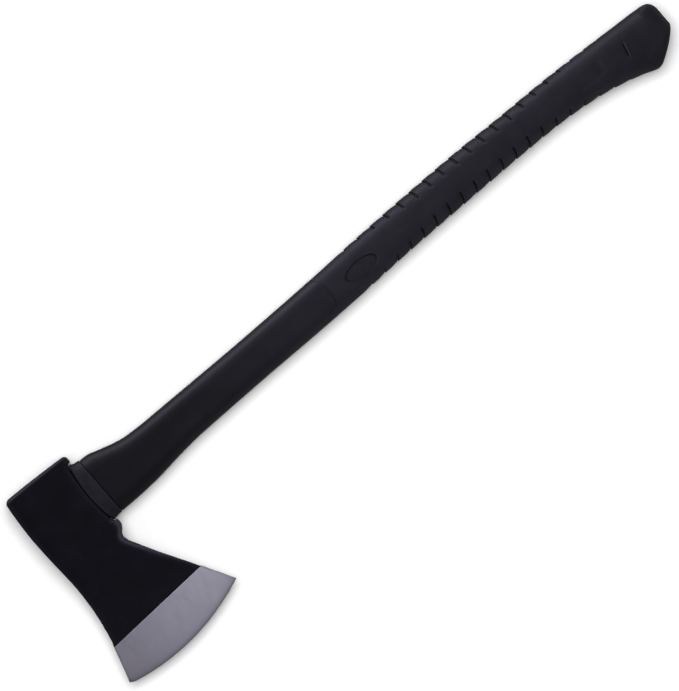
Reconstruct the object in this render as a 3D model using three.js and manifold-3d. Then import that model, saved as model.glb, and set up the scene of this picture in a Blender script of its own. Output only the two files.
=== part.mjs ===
// A single-bit splitting axe lying on its side: a forged head with a flat poll, bonded with epoxy to a
// fibreglass-cored handle that has a hard jacket, a rubber collar under the head and a ribbed rubber grip.
// Millimetres. X runs along the handle from the butt to the top of the head, Y from the poll to the
// cutting edge, and Z is the thickness, upwards. The origin is on the lower cheek, under the eye.
import * as THREE from "three";
import { mergeVertices } from "three/addons/utils/BufferGeometryUtils.js";
import Module from "manifold-3d";

const wasm = await Module();
wasm.setup();

// Driving dimensions.
const gap = 0.3; // clearance between neighbouring pieces
const cheekHalf = 17.15; // half the thickness of the head over the eye, and the height of its mid-plane
const cheekFlat = 15; // how far the flat of the cheek reaches above and below the origin, along X
const topDrop = 1.4; // how much each cheek falls away from the flat to the top of the head
const underDrop = 0.4; // and from the flat to the underside
const rimChamfer = 0.8; // chamfer round the top and the underside of the head
const pollFaceHalf = 13.2; // half the width of the flat hammer face
const bevelHalf = 3; // half the blade's thickness where the ground bevel starts
const edgeHalf = 0.15; // half the thickness of the cutting edge

const eyeCentre = -3.3; // Y of the middle of the eye and of the tang
const eyeHalfY = 27.5;
const eyeHalfZ = 12;
const resinWall = 1.2;
const resinBottom = -26.5;
const resinTop = 30.2;
const tangTop = 24;

const collarBottom = -41;
const collarGap = 0.9; // open line between the collar and the head
const collarFoot = { back: -31.1, front: 25.6, half: 13.4 };
const collarWaist = { x: -37, back: -31.7, front: 25.9, half: 13.8 };
const collarMouth = { back: -33.4, front: 26.6, half: 15.4 };
const archEnds = [-34.2, 27]; // Y of the ends of the arch in the head's underside

const coreHalfY = 9.5;
const coreHalfZ = 7;
const coreButt = -600;

const seamX = -296; // where the grip meets the jacket, at the middle of the handle
const seamBow = 7; // how far the seam runs back towards the head at the handle's edges
const gripWall = 3.2;
const buttX = -662;
const buttWall = 3.5;

const ribCount = 20;
const ribPitch = 14.7;
const firstNotch = -326.7;
const notchDepth = 0.95;
const notchRunIn = 2.3; // the notch's gentle side, towards the head
const notchRunOut = 1.9; // and its steep side, towards the butt

const medallion = { x: -328.6, y: 1.7, halfX: 17, halfY: 7.2 };

const sectionPoints = 32;
const sectionPower = 2.4; // 2 is an ellipse, and a higher power is squarer

// The head from the side. The underside and the top are given as [y, x] from the poll to the bevel.
const undersideLine = [
  [-42.1, -32.2],
  [-39.8, -34.1],
  [-35.3, -34],
  [-34.2, -31],
  [-20, -28.5],
  [-3, -27.3],
  [14, -28.1],
  [27, -30],
  [28, -33],
  [32, -33.2],
  [36, -31.3],
  [39, -28.6],
  [42.5, -27.4],
  [47, -28.4],
  [54, -32],
  [72, -41.8],
  [90, -52.6],
  [104.4, -61.4],
  [131.9, -76.9],
];
const topLine = [
  [-45, 26.5],
  [-43.6, 29.6],
  [-39.6, 30.5],
  [-2, 32.8],
  [48.6, 31.4],
  [65.2, 32.2],
  [81.6, 34.4],
  [97.8, 37.7],
  [113.9, 41.3],
  [139.5, 49.5],
];
// Half the thickness of the head as [y, half].
const thicknessLine = [
  [-41, cheekHalf],
  [14, cheekHalf],
  [24, 16.4],
  [32, 14.9],
  [42.5, 12],
  [54, 9.1],
  [72, 5.8],
  [90, 3.9],
  [106, bevelHalf],
];
const pollRim = { lower: [-32.2, -42.1], upper: [26.5, -45] }; // the hammer face, as [x, y]
const pollCorner = { lower: [-34.1, -39.8], upper: [30.2, -41.6] };
const cheekStations = [-35.3, -34.2, -20, -3, 14, 27, 28, 32, 36, 39, 42.5, 47, 54, 63, 72, 81, 90, 98];
const bevelStart = { lowerY: 104.4, upperY: 108.8 };
const edgeEnds = { lowerY: 131.9, upperY: 141.2 }; // the heel and the toe
const edgeBow = 10.2; // how far the cutting edge stands in front of the line from heel to toe
const toeRound = 1.6; // how far the toe's corner is ground back
const bevelBelly = 0.35; // how much fuller than flat the ground bevel is
const bevelSteps = [0, 0.3, 0.6, 0.88, 1];
const headRows = [0, 0.015, 0.08, 0.16, 0.25, 0.34, 0.43, 0.52, 0.61, 0.7, 0.79, 0.87, 0.94, 0.985, 1];

// The handle from the side, as [x, y], and half its thickness, as [x, half].
const backLine = [
  [-662, -2.6],
  [-660.9, -6.2],
  [-657.9, -9.8],
  [-652, -11.4],
  [-619, -13.7],
  [-585, -15.9],
  [-541, -17.9],
  [-507, -18.5],
  [-447, -20.3],
  [-400, -20.6],
  [-337, -20],
  [-286, -18.5],
  [-210, -18.2],
  [-134, -19.1],
  [-100, -19.6],
  [-83, -20.8],
  [-74.6, -22.4],
  [-57.6, -27.4],
  [-49, -30],
  [-41, -30.5],
];
const frontLine = [
  [-662, 16.5],
  [-660, 19.6],
  [-638, 36.6],
  [-635, 38.1],
  [-631.5, 38.6],
  [-627, 37.5],
  [-619, 34.4],
  [-602, 29.3],
  [-585, 25.2],
  [-564, 22.1],
  [-541, 19.8],
  [-507, 18.5],
  [-447, 18],
  [-380, 17.9],
  [-286, 19.6],
  [-210, 19.2],
  [-134, 19.8],
  [-100, 22.5],
  [-83, 24.3],
  [-57.6, 25.4],
  [-41, 25.3],
];
const handleHalfLine = [
  [-662, 12],
  [-659.5, 14.3],
  [-655, 15.3],
  [-620, 15.7],
  [-540, 15.2],
  [-400, 14.6],
  [-296, 13.9],
  [-200, 13.1],
  [-60, 13],
  [-41, 13.3],
];

// A smooth curve through [position, value] points that never overshoots them.
function smoothLine(points) {
  const slopes = points.slice(1).map(([p, v], i) => (v - points[i][1]) / (p - points[i][0]));
  const tangents = points.map((_, i) => {
    if (i === 0 || i === points.length - 1) return slopes[Math.min(i, slopes.length - 1)];
    const [before, after] = [slopes[i - 1], slopes[i]];
    return before * after <= 0 ? 0 : (2 * before * after) / (before + after);
  });
  return (position) => {
    const last = points.length - 2;
    const found = points.findIndex(([p]) => p > position) - 1;
    const i = found < 0 ? (position < points[0][0] ? 0 : last) : found;
    const [p0, v0] = points[i];
    const [p1, v1] = points[i + 1];
    const width = p1 - p0;
    const t = THREE.MathUtils.clamp((position - p0) / width, 0, 1);
    const rise = (v1 - v0) * t * t * (3 - 2 * t);
    const bend0 = tangents[i] * width * t * (1 - t) * (1 - t);
    const bend1 = tangents[i + 1] * width * t * t * (1 - t);
    return v0 + rise + bend0 - bend1;
  };
}

const undersideAt = smoothLine(undersideLine);
const topAt = smoothLine(topLine);
const thicknessAt = smoothLine(thicknessLine);
const backAt = smoothLine(backLine);
const frontAt = smoothLine(frontLine);
const handleHalfAt = smoothLine(handleHalfLine);

// Closes a row of rings, each a loop of as many points, into one body. Seen from the far end of the
// row, each loop turns anticlockwise. The two end rings are closed by strips across them.
function loft(rings) {
  const count = rings[0].length;
  const index = [];
  for (let i = 0; i + 1 < rings.length; i++)
    for (let j = 0; j < count; j++) {
      const a = i * count + j;
      const b = i * count + ((j + 1) % count);
      index.push(a, b, a + count, b, b + count, a + count);
    }
  const far = (rings.length - 1) * count;
  for (let j = 0; j + 1 < count / 2; j++) {
    const [a, b, c, d] = [j, j + 1, count - 2 - j, count - 1 - j];
    index.push(a, c, b, a, d, c);
    index.push(far + a, far + b, far + c, far + a, far + c, far + d);
  }
  const geometry = new THREE.BufferGeometry().setFromPoints(rings.flat());
  geometry.setIndex(index);
  return geometry;
}

function solid(geometry) {
  geometry.deleteAttribute("normal");
  geometry.deleteAttribute("uv");
  const merged = mergeVertices(geometry, 1e-4);
  return new wasm.Manifold(
    new wasm.Mesh({
      numProp: 3,
      vertProperties: new Float32Array(merged.attributes.position.array),
      triVerts: new Uint32Array(merged.index.array),
    }),
  );
}

function piece(name, made, material) {
  const cut = made.getMesh();
  const geometry = new THREE.BufferGeometry();
  geometry.setAttribute("position", new THREE.BufferAttribute(cut.vertProperties, 3));
  geometry.setIndex(new THREE.BufferAttribute(cut.triVerts, 1));
  geometry.computeVertexNormals();
  const mesh = new THREE.Mesh(geometry, material);
  mesh.name = name;
  return mesh;
}

// An oval bar along X, centred on the mid-plane.
function ovalBar(centreY, halfY, halfZ, fromX, toX) {
  const outline = new THREE.Shape().absellipse(centreY, 0, halfY, halfZ, 0, 2 * Math.PI);
  const depth = toX - fromX;
  const bar = new THREE.ExtrudeGeometry(outline, { depth, bevelEnabled: false, curveSegments: 40 });
  const alongX = new THREE.Matrix4().makeBasis(
    new THREE.Vector3(0, 1, 0),
    new THREE.Vector3(0, 0, 1),
    new THREE.Vector3(1, 0, 0),
  );
  return solid(bar.applyMatrix4(alongX).translate(fromX, 0, 0));
}

// An oval bar across the handle, through both faces of the grip at the medallion.
function medallionBar(shrink) {
  const { x, y, halfX, halfY } = medallion;
  const outline = new THREE.Shape();
  outline.absellipse(x, y, halfX - shrink, halfY - shrink, 0, 2 * Math.PI);
  const depth = 2 * cheekHalf;
  const bar = new THREE.ExtrudeGeometry(outline, { depth, bevelEnabled: false, curveSegments: 20 });
  return solid(bar.translate(0, 0, -depth / 2));
}

// One loop round the head, across it from the underside to the top and back on the other side.
// bow lifts the middle of the loop towards the cutting edge, and round lowers its end at the top.
function headRing(lower, upper, half, bow, round = 0) {
  const side = headRows.map((u) => {
    const x = THREE.MathUtils.lerp(lower[0], upper[0], u);
    const corner = round * Math.exp((x - upper[0]) / 2);
    const y = THREE.MathUtils.lerp(lower[1], upper[1], u) + 4 * bow * u * (1 - u) - corner;
    const rim = u === 0 || u === 1 ? Math.min(rimChamfer, 0.3 * half) : 0;
    const reach = THREE.MathUtils.clamp((Math.abs(x) - cheekFlat) / cheekFlat, 0, 1);
    const drop = (x > 0 ? topDrop : underDrop) * reach * reach * (half / cheekHalf);
    return new THREE.Vector3(x, y, half - rim - drop);
  });
  const mirrored = side.map((p) => new THREE.Vector3(p.x, p.y, -p.z)).reverse();
  return [...side, ...mirrored];
}

// The painted part of the head: straight loops from the hammer face to the start of the bevel.
function cheekRings() {
  const straight = cheekStations.map((y) =>
    headRing([undersideAt(y), y], [topAt(y), y], thicknessAt(y), 0),
  );
  return [
    headRing(pollRim.lower, pollRim.upper, pollFaceHalf, 0),
    headRing(pollCorner.lower, pollCorner.upper, cheekHalf, 0),
    ...straight,
  ];
}

// The ground bevel: loops that change from the straight start of the bevel to the curved edge.
function bevelRings() {
  return bevelSteps.map((t) => {
    const lowerY = THREE.MathUtils.lerp(bevelStart.lowerY, edgeEnds.lowerY, t);
    const upperY = THREE.MathUtils.lerp(bevelStart.upperY, edgeEnds.upperY, t);
    const flat = THREE.MathUtils.lerp(bevelHalf, edgeHalf, t);
    const half = flat + bevelBelly * bevelHalf * t * (1 - t);
    const lower = [undersideAt(lowerY), lowerY];
    const upper = [topAt(upperY), upperY];
    return headRing(lower, upper, half, edgeBow * t, toeRound * t ** 4);
  });
}

function axeHead() {
  const steel = new THREE.MeshStandardMaterial({ color: 0x1b1b1d, roughness: 0.55, metalness: 0.2 });
  const forging = solid(loft([...cheekRings(), ...bevelRings()]));
  const eye = ovalBar(eyeCentre, eyeHalfY, eyeHalfZ, -50, 50);
  return piece("axe_head", forging.subtract(eye), steel);
}

// The epoxy that fills the eye round the tang and over its end.
function eyeResin() {
  const resin = new THREE.MeshStandardMaterial({ color: 0x2a2926, roughness: 0.35, metalness: 0 });
  const outer = ovalBar(eyeCentre, eyeHalfY - gap, eyeHalfZ - gap, resinBottom, resinTop);
  const wall = gap + resinWall;
  const room = ovalBar(eyeCentre, eyeHalfY - wall, eyeHalfZ - wall, collarBottom, tangTop + gap);
  return piece("eye_resin", outer.subtract(room), resin);
}

// One loop round the handle. back and front are Y, and xAt gives X for each Y, for a curved seam.
function ovalRing(back, front, half, xAt) {
  const middle = (back + front) / 2;
  const halfY = (front - back) / 2;
  const squared = (v) => Math.sign(v) * Math.abs(v) ** (2 / sectionPower);
  return Array.from({ length: sectionPoints }, (_, j) => {
    const angle = ((j + 0.5) * 2 * Math.PI) / sectionPoints;
    const y = middle + halfY * squared(Math.cos(angle));
    return new THREE.Vector3(xAt(y), y, half * squared(Math.sin(angle)));
  });
}

function handleRing(x, inset) {
  return ovalRing(backAt(x) + inset, frontAt(x) - inset, handleHalfAt(x) - inset, () => x);
}

// A loop along the seam between the jacket and the grip, moved by shift along the handle.
function seamRing(inset, shift) {
  const [back, front, half] = [backAt(seamX), frontAt(seamX), handleHalfAt(seamX)];
  const seam = (y) => seamX + shift + seamBow * (y / front) ** 2;
  return ovalRing(back + inset, front - inset, half - inset, seam);
}

// The rubber ring that seals the joint between the head and the jacket's shoulder. Its mouth
// follows the arch of the head's underside.
function headCollar() {
  const rubber = new THREE.MeshStandardMaterial({ color: 0x2b2b2d, roughness: 0.8, metalness: 0 });
  const [foot, waist, mouth] = [collarFoot, collarWaist, collarMouth];
  const underHead = (y) => undersideAt(THREE.MathUtils.clamp(y, ...archEnds)) - collarGap;
  const ring = loft([
    ovalRing(foot.back, foot.front, foot.half, () => collarBottom + gap),
    ovalRing(waist.back, waist.front, waist.half, () => waist.x),
    ovalRing(mouth.back, mouth.front, mouth.half, underHead),
  ]);
  const wall = gap + resinWall;
  const opening = ovalBar(eyeCentre, eyeHalfY - wall, eyeHalfZ - wall, collarBottom - 10, 0);
  return piece("head_collar", solid(ring).subtract(opening), rubber);
}

function fibreglassCore() {
  const glass = new THREE.MeshStandardMaterial({ color: 0xc9b98a, roughness: 0.5, metalness: 0 });
  const rod = ovalBar(0, coreHalfY, coreHalfZ, coreButt, tangTop - 1);
  return piece("fibreglass_core", rod, glass);
}

// The inside of the grip, which the jacket fills with some clearance.
function underGripRings(inset) {
  const stations = [-650, -638, -630, -619, -602, -575, -541, -470, -400, -337];
  const buttRing = handleRing(buttX, inset).map((p) => p.setX(buttX + buttWall));
  const rings = stations.map((x) => {
    const outer = x - buttWall;
    return ovalRing(
      Math.max(backAt(outer), backAt(x)) + inset,
      Math.min(frontAt(outer), frontAt(x)) - inset,
      Math.min(handleHalfAt(outer), handleHalfAt(x)) - inset,
      () => x,
    );
  });
  return [buttRing, ...rings];
}

function gripStations() {
  const smooth = [-661, -659.5, -657, -652, -645, -638, -635, -631.5, -627, -619, -612];
  const notches = Array.from({ length: ribCount }, (_, i) => firstNotch - i * ribPitch);
  const ribbed = notches.flatMap((x) => [x + notchRunIn, x, x - notchRunOut]);
  const lead = [-316, -308];
  return [...smooth, ...ribbed, ...lead].sort((a, b) => a - b);
}

function notchAt(x) {
  const nearest = Math.round((firstNotch - x) / ribPitch);
  if (nearest < 0 || nearest >= ribCount) return 0;
  return Math.abs(firstNotch - nearest * ribPitch - x) < 0.01 ? notchDepth : 0;
}

function gripOuter() {
  const ribbed = gripStations().map((x) => {
    const notch = notchAt(x);
    return ovalRing(backAt(x) + notch, frontAt(x) - notch, handleHalfAt(x), () => x);
  });
  return solid(loft([handleRing(buttX, 0), ...ribbed, seamRing(0, 0)]));
}

// The soft grip, closed over the butt, with an oval window on each face for the medallion.
function gripSleeve() {
  const rubber = new THREE.MeshStandardMaterial({ color: 0x2a2a2c, roughness: 0.85, metalness: 0 });
  const wall = gripWall - gap;
  const inside = solid(loft([...underGripRings(wall), seamRing(wall, 0), seamRing(wall, 6)]));
  const sleeve = gripOuter().subtract(inside).subtract(medallionBar(0));
  return piece("grip_sleeve", sleeve, rubber);
}

// The hard jacket: a tang for the eye, the bare neck and shaft, and a slimmer length under the grip
// with a raised medallion on each face.
function handleJacket() {
  const plastic = new THREE.MeshStandardMaterial({ color: 0x222224, roughness: 0.6, metalness: 0 });
  const tangHalfY = eyeHalfY - 2 * gap - resinWall;
  const tangHalfZ = eyeHalfZ - 2 * gap - resinWall;
  const underGrip = underGripRings(gripWall).map((ring, i) =>
    i === 0 ? ring.map((p) => p.setX(p.x + gap)) : ring,
  );
  const shaft = [-262, -210, -160, -134, -117, -100, -91, -83, -74.6, -66, -57.6, -49];
  const outer = solid(
    loft([
      ...underGrip,
      seamRing(gripWall, gap),
      seamRing(0, gap),
      ...shaft.map((x) => handleRing(x, 0)),
      handleRing(collarBottom, 0),
    ]),
  );
  const tang = ovalBar(eyeCentre, tangHalfY, tangHalfZ, collarBottom - 10, tangTop);
  const boss = gripOuter().intersect(medallionBar(gap));
  const bore = ovalBar(0, coreHalfY + gap, coreHalfZ + gap, coreButt - gap, tangTop + 10);
  return piece("handle_jacket", outer.add(tang).add(boss).subtract(bore), plastic);
}

const splittingAxe = new THREE.Group();
splittingAxe.name = "splitting_axe";
const head = new THREE.Group();
head.add(axeHead(), eyeResin(), headCollar());
const handle = new THREE.Group();
handle.add(fibreglassCore(), handleJacket(), gripSleeve());
splittingAxe.add(head, handle);
splittingAxe.position.z = cheekHalf;

export default splittingAxe;
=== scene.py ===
import math

import bmesh
import bpy
import numpy as np
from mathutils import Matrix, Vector
from mathutils.bvhtree import BVHTree


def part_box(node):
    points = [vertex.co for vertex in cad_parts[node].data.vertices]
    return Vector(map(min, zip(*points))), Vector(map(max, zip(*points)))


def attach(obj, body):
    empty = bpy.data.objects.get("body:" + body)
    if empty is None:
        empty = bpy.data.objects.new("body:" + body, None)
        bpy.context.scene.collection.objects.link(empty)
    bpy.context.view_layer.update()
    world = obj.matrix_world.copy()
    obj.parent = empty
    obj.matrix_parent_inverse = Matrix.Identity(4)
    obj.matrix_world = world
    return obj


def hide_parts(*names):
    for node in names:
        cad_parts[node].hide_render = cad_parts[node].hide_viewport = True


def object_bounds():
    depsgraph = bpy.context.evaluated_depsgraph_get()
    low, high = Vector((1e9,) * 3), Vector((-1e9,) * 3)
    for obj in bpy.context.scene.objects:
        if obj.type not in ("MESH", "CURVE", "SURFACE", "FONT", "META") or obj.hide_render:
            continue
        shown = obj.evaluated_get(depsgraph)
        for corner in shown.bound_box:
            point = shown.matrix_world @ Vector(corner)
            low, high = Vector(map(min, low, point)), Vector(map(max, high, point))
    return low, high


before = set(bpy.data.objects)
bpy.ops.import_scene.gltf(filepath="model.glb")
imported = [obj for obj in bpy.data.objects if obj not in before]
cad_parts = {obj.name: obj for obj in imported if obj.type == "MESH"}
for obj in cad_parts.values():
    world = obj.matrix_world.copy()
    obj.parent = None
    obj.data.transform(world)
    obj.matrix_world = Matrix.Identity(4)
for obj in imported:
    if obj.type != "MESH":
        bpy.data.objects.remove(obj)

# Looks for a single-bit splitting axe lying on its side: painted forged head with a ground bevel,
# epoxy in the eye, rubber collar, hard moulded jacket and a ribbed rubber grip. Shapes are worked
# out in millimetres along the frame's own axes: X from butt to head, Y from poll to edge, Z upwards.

cad_low, cad_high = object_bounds()

MM = 0.001
head_low, head_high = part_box("axe_head")
mid_plane = (head_low.z + head_high.z) / 2 / MM

# Clearances and walls that the CAD pieces keep.
gap = 0.3
grip_wall = 3.2
collar_gap = 0.9
facet_loss = 0.13

# Far enough out to aim at the CAD from any side.
outside = 500

# Where the CAD sections of the handle stand, along X.
butt_stations = [-661.9, -661, -659.5, -657, -652, -645, -638, -635, -631.5, -627, -619, -612]
under_grip = [-300, -315, -337, -370, -400, -440, -470, -505, -541, -575]
under_grip += [-602, -619, -630, -640, -650]
neck_stations = [-262, -210, -160, -134, -117, -100, -91, -83, -74.6, -66, -57.6, -49, -41.2]
rib_count = 20
rib_pitch = 14.7
first_rib_x = -326.7
seam_x = -296
seam_bow = 7
shoulder_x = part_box("head_collar")[0].x / MM - gap
butt_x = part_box("grip_sleeve")[0].x / MM

# Where the CAD sections of the head stand, along Y.
cheek_stations = [-35.2, -34.2, -20, -3, 14, 27, 28, 32, 36]
cheek_stations += [39, 42.5, 47, 54, 63, 72, 81, 90, 98, 104]
poll_rim = {"lower": (-32.2, -42.1), "upper": (26.5, -45.0), "half": 13.2}
poll_corner = {"lower": (-34.1, -39.8), "upper": (30.2, -41.6)}
arch_ends = (-33.9, 26.9)
poll_bow = 0.45
cheek_flat = 15
bevel_lower = [(-61.4, 104.4), (-76.9, 131.9)]
bevel_upper = [(40.1, 108.8), (49.5, 141.2)]
edge_bow = 10.2
toe_round = 1.6
edge_half = 0.1
bevel_reach = 27

medallion = {"x": -328.6, "y": 1.7, "half_x": 17.0, "half_y": 7.2}


# ---------------------------------------------------------------- lines, measured from the CAD


def smooth_line(points):
    """A smooth curve through (position, value) points that never overshoots them. Takes arrays."""
    places, values = np.array(sorted(points), float).T
    slopes = np.diff(values) / np.diff(places)
    before, after = slopes[:-1], slopes[1:]
    total = np.where(before + after == 0, 1, before + after)
    inner = np.where(before * after <= 0, 0, 2 * before * after / total)
    tangents = np.concatenate([slopes[:1], inner, slopes[-1:]])

    def line(position):
        i = np.clip(np.searchsorted(places, position, side="right") - 1, 0, len(places) - 2)
        width = places[i + 1] - places[i]
        t = np.clip((position - places[i]) / width, 0, 1)
        rise = (values[i + 1] - values[i]) * t * t * (3 - 2 * t)
        bend_in = tangents[i] * width * t * (1 - t) ** 2
        bend_out = tangents[i + 1] * width * t * t * (1 - t)
        return values[i] + rise + bend_in - bend_out

    return line


def ramp(value, start, end):
    """0 before start, 1 after end, and a smooth rise between them."""
    t = np.clip((np.asarray(value, float) - start) / (end - start), 0, 1)
    return t * t * (3 - 2 * t)


def cad_surface(*nodes):
    corners, faces = [], []
    for name in nodes:
        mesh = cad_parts[name].data
        first = len(corners)
        corners += [v.co.copy() for v in mesh.vertices]
        faces += [[first + i for i in p.vertices] for p in mesh.polygons]
    return BVHTree.FromPolygons(corners, faces)


def touch(surface, start, axis, toward):
    """Where a line from a point in millimetres, along one axis, first meets a CAD surface."""
    direction = Vector((0, 0, 0))
    direction[axis] = toward
    return surface.ray_cast(Vector(start) * MM, direction)[0][axis] / MM


def measure_handle(surface, stations):
    """Back, front and half thickness of the handle's CAD pieces at each station. The CAD sections
    have flat sides a little inside the curve that they stand for."""
    rows = []
    for x in stations:
        back = touch(surface, (x, -outside, mid_plane), 1, 1) - facet_loss
        front = touch(surface, (x, outside, mid_plane), 1, -1) + facet_loss
        top = touch(surface, (x, (back + front) / 2, outside), 2, -1)
        rows.append((x, back, front, top - mid_plane))
    return [smooth_line([(row[0], row[i]) for row in rows]) for i in (1, 2, 3)]


def measure_head(surface):
    """Underside, top and half thickness of the head at each of its CAD sections."""
    rows = []
    for y in cheek_stations:
        half = touch(surface, (0, y, outside), 2, -1) - mid_plane
        height = mid_plane + 0.8 * half
        under = touch(surface, (-outside, y, height), 0, 1)
        top = touch(surface, (outside, y, height), 0, -1)
        rows.append((y, under, top, half))
    return [smooth_line([(row[0], row[i]) for row in rows]) for i in (1, 2, 3)]


between_ribs = [first_rib_x - (n + 0.5) * rib_pitch for n in range(rib_count - 1)]
handle_skin = cad_surface("handle_jacket", "grip_sleeve")
back_line, front_line, half_line = measure_handle(
    handle_skin, [*butt_stations, *between_ribs, -308, *neck_stations]
)
under_line, top_line, cheek_line = measure_head(cad_surface("axe_head"))


# ---------------------------------------------------------------- loops, lofts and meshes


def whole_ring(upper_side):
    """Closes half a loop, which starts and ends on the mid-plane, with its mirror image."""
    lower_side = upper_side[-2:0:-1] * np.array([1, 1, -1])
    return np.concatenate([upper_side, lower_side])


def oval(half_y, half_z, power_back, power_front, seam=0.0):
    """Half a squared oval as unit shares (u, v) and the length round to each point from the front.
    seam is the width of the moulding line at both edges, which gets points of its own."""
    angle = np.linspace(0, math.pi, 721)
    exponent = 2 / np.where(angle < math.pi / 2, power_front, power_back)
    u = np.sign(np.cos(angle)) * np.abs(np.cos(angle)) ** exponent
    v = np.sin(angle).clip(0) ** exponent
    steps = np.hypot(np.diff(half_y * u), np.diff(half_z * v))
    along = np.concatenate([[0], np.cumsum(steps)])
    total = along[-1]
    rim = [0, 0.35 * seam, 0.75 * seam, 1.1 * seam] if seam else [0]
    middle = np.linspace(1.6 * seam if seam else 0, total - (1.6 * seam if seam else 0), 48)
    inner = middle if seam else middle[1:-1]
    arcs = np.concatenate([rim, inner, total - np.array(rim[::-1])])
    return np.interp(arcs, along, u), np.interp(arcs, along, v), arcs, total


def loft(rings, around=False):
    """Vertices and faces of one closed body through loops of as many points. The end loops are
    closed by strips across them, or joined to each other if around is set."""
    rings = np.asarray(rings, float)
    rows, count = rings.shape[:2]
    faces = []
    for i in range(rows if around else rows - 1):
        a, b = i * count, ((i + 1) % rows) * count
        for j in range(count):
            k = (j + 1) % count
            faces.append((a + j, b + j, b + k, a + k))
    if not around:
        for first in (0, (rows - 1) * count):
            for j in range(count // 2):
                strip = [j, j + 1, (count - j - 1) % count, (count - j) % count]
                corners = list(dict.fromkeys(strip))
                faces.append([first + c for c in corners])
    return rings.reshape(-1, 3), faces


def make_piece(name, vertices, faces, material, values=None, sharp=38):
    """A smooth-shaded mesh object. Vertices are in millimetres about the mid-plane."""
    mesh = bpy.data.meshes.new(name)
    placed = (np.asarray(vertices) + [0, 0, mid_plane]) * MM
    mesh.from_pydata(placed.tolist(), [], [list(f) for f in faces])
    for title, numbers in (values or {}).items():
        column = mesh.attributes.new(title, "FLOAT", "POINT")
        column.data.foreach_set("value", np.asarray(numbers, np.float32).ravel())
    work = bmesh.new()
    work.from_mesh(mesh)
    bmesh.ops.remove_doubles(work, verts=work.verts, dist=1e-7)
    bmesh.ops.recalc_face_normals(work, faces=work.faces)
    work.to_mesh(mesh)
    work.free()
    mesh.materials.append(material)
    mesh.shade_smooth()
    mesh.set_sharp_from_angle(angle=math.radians(sharp))
    made = bpy.data.objects.new(name, mesh)
    bpy.context.scene.collection.objects.link(made)
    return made


def cut_away(body, cutter, sharp=38):
    """Takes the cutter's shape out of the body for good and removes the cutter."""
    tool = body.modifiers.new("cut", "BOOLEAN")
    tool.operation = "DIFFERENCE"
    tool.solver = "EXACT"
    tool.object = cutter
    bpy.context.view_layer.update()
    ready = body.evaluated_get(bpy.context.evaluated_depsgraph_get())
    mesh = bpy.data.meshes.new_from_object(ready)
    body.modifiers.remove(tool)
    old = body.data
    body.data = mesh
    bpy.data.meshes.remove(old)
    bpy.data.objects.remove(cutter)
    body.data.name = body.name
    body.data.shade_smooth()
    body.data.set_sharp_from_angle(angle=math.radians(sharp))
    return body


def plain_oval_ring(x, centre_y, half_y, half_z, count):
    """A loop round a plain oval across X, with points that pair up with a squared oval's."""
    angle = np.linspace(0, math.pi, count // 2 + 1)
    side = np.stack(
        [np.full(len(angle), x), centre_y + half_y * np.cos(angle), half_z * np.sin(angle)], axis=1
    )
    return whole_ring(side)


# ---------------------------------------------------------------- shader groups and materials


def node(tree, kind, sockets=None, **settings):
    """Adds a node. Each socket is given a value, or another node's output to be linked to."""
    made = tree.nodes.new(kind)
    for key, value in settings.items():
        setattr(made, key, value)
    for key, value in (sockets or {}).items():
        if isinstance(value, bpy.types.NodeSocket):
            tree.links.new(value, made.inputs[key])
        else:
            made.inputs[key].default_value = value
    return made


def new_group(name, inputs, outputs):
    tree = bpy.data.node_groups.new(name, "ShaderNodeTree")
    for title, kind, value in inputs:
        socket = tree.interface.new_socket(name=title, in_out="INPUT", socket_type=kind)
        socket.default_value = value
    for title, kind in outputs:
        tree.interface.new_socket(name=title, in_out="OUTPUT", socket_type=kind)
    return tree, tree.nodes.new("NodeGroupInput"), tree.nodes.new("NodeGroupOutput")


FLOAT, COLOR, VECTOR = "NodeSocketFloat", "NodeSocketColor", "NodeSocketVector"


def math_node(tree, operation, first, second=0.0, clamp=False):
    made = node(tree, "ShaderNodeMath", {0: first, 1: second}, operation=operation, use_clamp=clamp)
    return made.outputs[0]


def map_range(tree, value, low, high, to_low=0.0, to_high=1.0):
    sockets = {"Value": value, "From Min": low, "From Max": high}
    sockets |= {"To Min": to_low, "To Max": to_high}
    return node(tree, "ShaderNodeMapRange", sockets, interpolation_type="SMOOTHSTEP").outputs[0]


def grain_group():
    """Fine moulded or painted grain. Size is in millimetres."""
    tree, given, result = new_group(
        "surface_grain",
        [("Size", FLOAT, 0.5), ("Stretch", VECTOR, (1, 1, 1)), ("Roughen", FLOAT, 0.6)],
        [("Height", FLOAT)],
    )
    place = node(tree, "ShaderNodeTexCoord").outputs["Object"]
    stretched = node(
        tree, "ShaderNodeVectorMath", {0: place, 1: given.outputs["Stretch"]}, operation="MULTIPLY"
    )
    scale = math_node(tree, "DIVIDE", 1000.0, given.outputs["Size"])
    noise = node(
        tree,
        "ShaderNodeTexNoise",
        {
            "Vector": stretched.outputs[0],
            "Scale": scale,
            "Detail": 3.0,
            "Roughness": given.outputs["Roughen"],
        },
    )
    tree.links.new(noise.outputs["Fac"], result.inputs["Height"])
    return tree


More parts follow.
